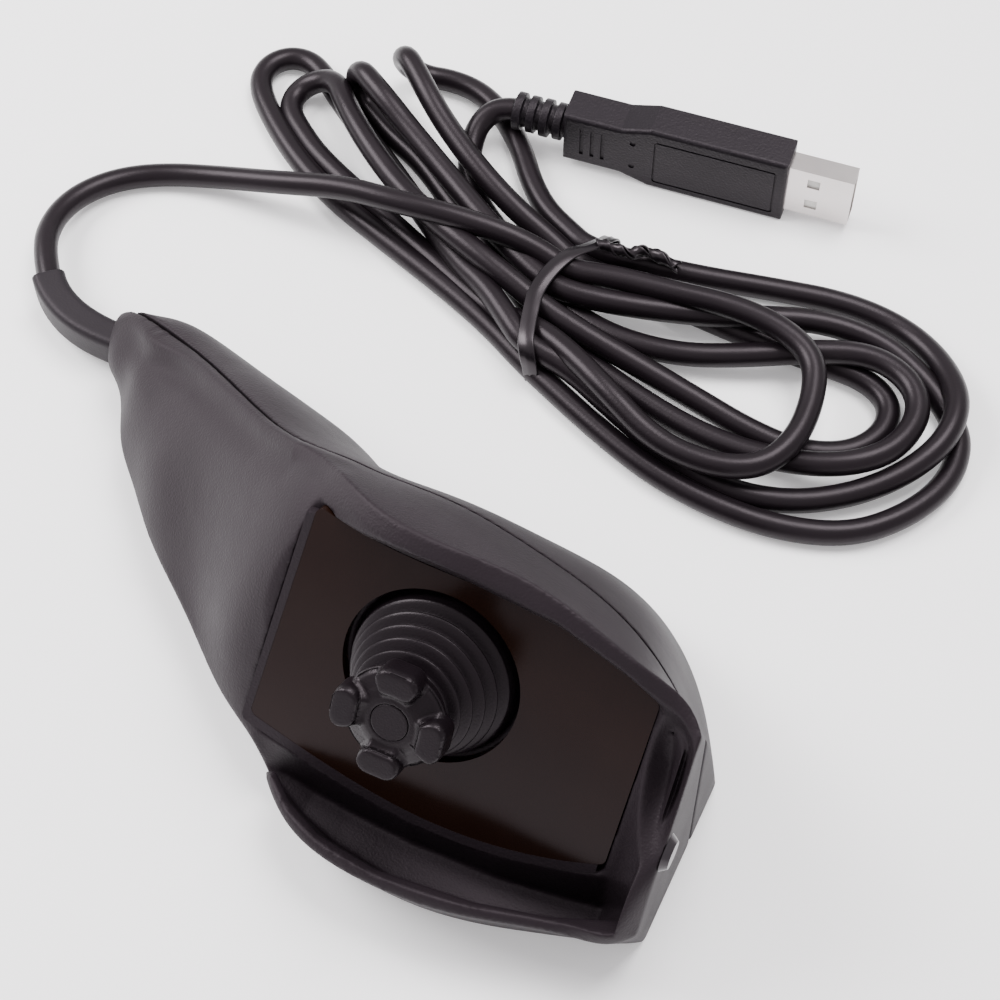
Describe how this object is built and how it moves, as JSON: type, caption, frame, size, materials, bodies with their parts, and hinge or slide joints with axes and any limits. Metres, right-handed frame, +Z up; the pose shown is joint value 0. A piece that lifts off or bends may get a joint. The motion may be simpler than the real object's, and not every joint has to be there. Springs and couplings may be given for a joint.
{
  "type": "thumb-stick mouse",
  "caption": "Corded desk pointing device with a rubber-booted thumb stick on a steep smoked panel, a trough below it, a swept body and a tied USB cord.",
  "frame": {"origin": "on the table, under the middle of the body without its cord", "axes": "+X along the panel's lower edge towards the flat end, -Y the side the panel faces, +Z up"},
  "size_m": [0.1852, 0.1748, 0.0595],
  "materials": {
    "shell": "fine grained soft-touch moulding, warm dark grey",
    "smoked_panel": "smoked dark brown, glossy, faintly see-through",
    "clear_bumper": "small clear bump",
    "stick_rubber": "moulded black rubber with a slight gloss",
    "inner_plastic": "plain black moulding",
    "bearing_plastic": "natural acetal",
    "foot_rubber": "matte black rubber",
    "screw_steel": "zinc plated",
    "shaft_steel": "ground steel",
    "magnet": "nickel plated magnet",
    "board_green": "solder mask",
    "chip_black": "moulded epoxy",
    "ceramic_parts": "ceramic capacitors",
    "connector_white": "natural nylon",
    "cord_jacket": "satin PVC jacket, warm black",
    "boot_rubber": "matte grey-black rubber",
    "tie_plastic": "flat black wire tie",
    "plug_plastic": "grained black overmould",
    "plug_metal": "bright nickel plate",
    "contact_gold": "gold plate"
  },
  "bodies": {
    "housing": {"front_shell": "shell", "back_shell": "shell", "base_plate": "inner_plastic", "base_screws": "screw_steel", "rubber_feet": "foot_rubber", "window_panel": "smoked_panel", "window_frame": "shell", "end_bumper": "clear_bumper", "bellows": "stick_rubber", "stick_housing": "inner_plastic", "housing_screws": "screw_steel", "circuit_board": "board_green", "board_screws": "screw_steel", "press_switch": "chip_black", "tilt_sensors": "chip_black", "controller_chip": "chip_black", "board_parts": "ceramic_parts", "cable_connector": "connector_white", "inner_cable": "cord_jacket", "cable_clamp": "inner_plastic", "clamp_screws": "screw_steel", "strain_relief": "boot_rubber", "cord_lead": "cord_jacket", "cord_hank": "cord_jacket", "twist_tie": "tie_plastic", "plug_relief": "plug_plastic", "plug_body": "plug_plastic", "plug_shell": "plug_metal", "plug_tongue": "connector_white", "plug_contacts": "contact_gold"},
    "gimbal": {"gimbal_ring": "bearing_plastic", "gimbal_pins": "shaft_steel"},
    "carrier": {"stick_carrier": "bearing_plastic", "carrier_pins": "shaft_steel"},
    "stick": {"stick_shaft": "shaft_steel", "stick_cap": "stick_rubber", "cap_disc": "stick_rubber", "shaft_magnet": "magnet", "shaft_clip": "shaft_steel", "return_spring": "shaft_steel"},
    "plunger": {"press_plunger": "bearing_plastic"}
  },
  "joints": [
    {"name": "stick_tilt_x", "type": "hinge", "parent": "housing", "child": "gimbal", "pos_m": [0.0236, -0.0069, 0.03024], "axis": [1, 0, 0], "range_deg": [-18, 18], "stiffness_Nm_per_rad": 0.02, "deforming": ["bellows"]},
    {"name": "stick_tilt_y", "type": "hinge", "parent": "gimbal", "child": "carrier", "pos_m": [0.0236, -0.0069, 0.03024], "axis": [0, 0.518, 0.8554], "range_deg": [-18, 18], "stiffness_Nm_per_rad": 0.02, "deforming": ["bellows"]},
    {"name": "stick_press", "type": "slide", "parent": "carrier", "child": "stick", "axis": [0, 0.8554, -0.518], "range_m": [0, 0.0005], "stiffness_N_per_m": 800, "deforming": ["bellows", "return_spring"]},
    {"name": "plunger_press", "type": "slide", "parent": "housing", "child": "plunger", "axis": [0, 0.8554, -0.518], "range_m": [0, 0.0005]}
  ],
  "couplings": [
    {"joint": "plunger_press", "follows": "stick_press", "ratio": 1}
  ]
}
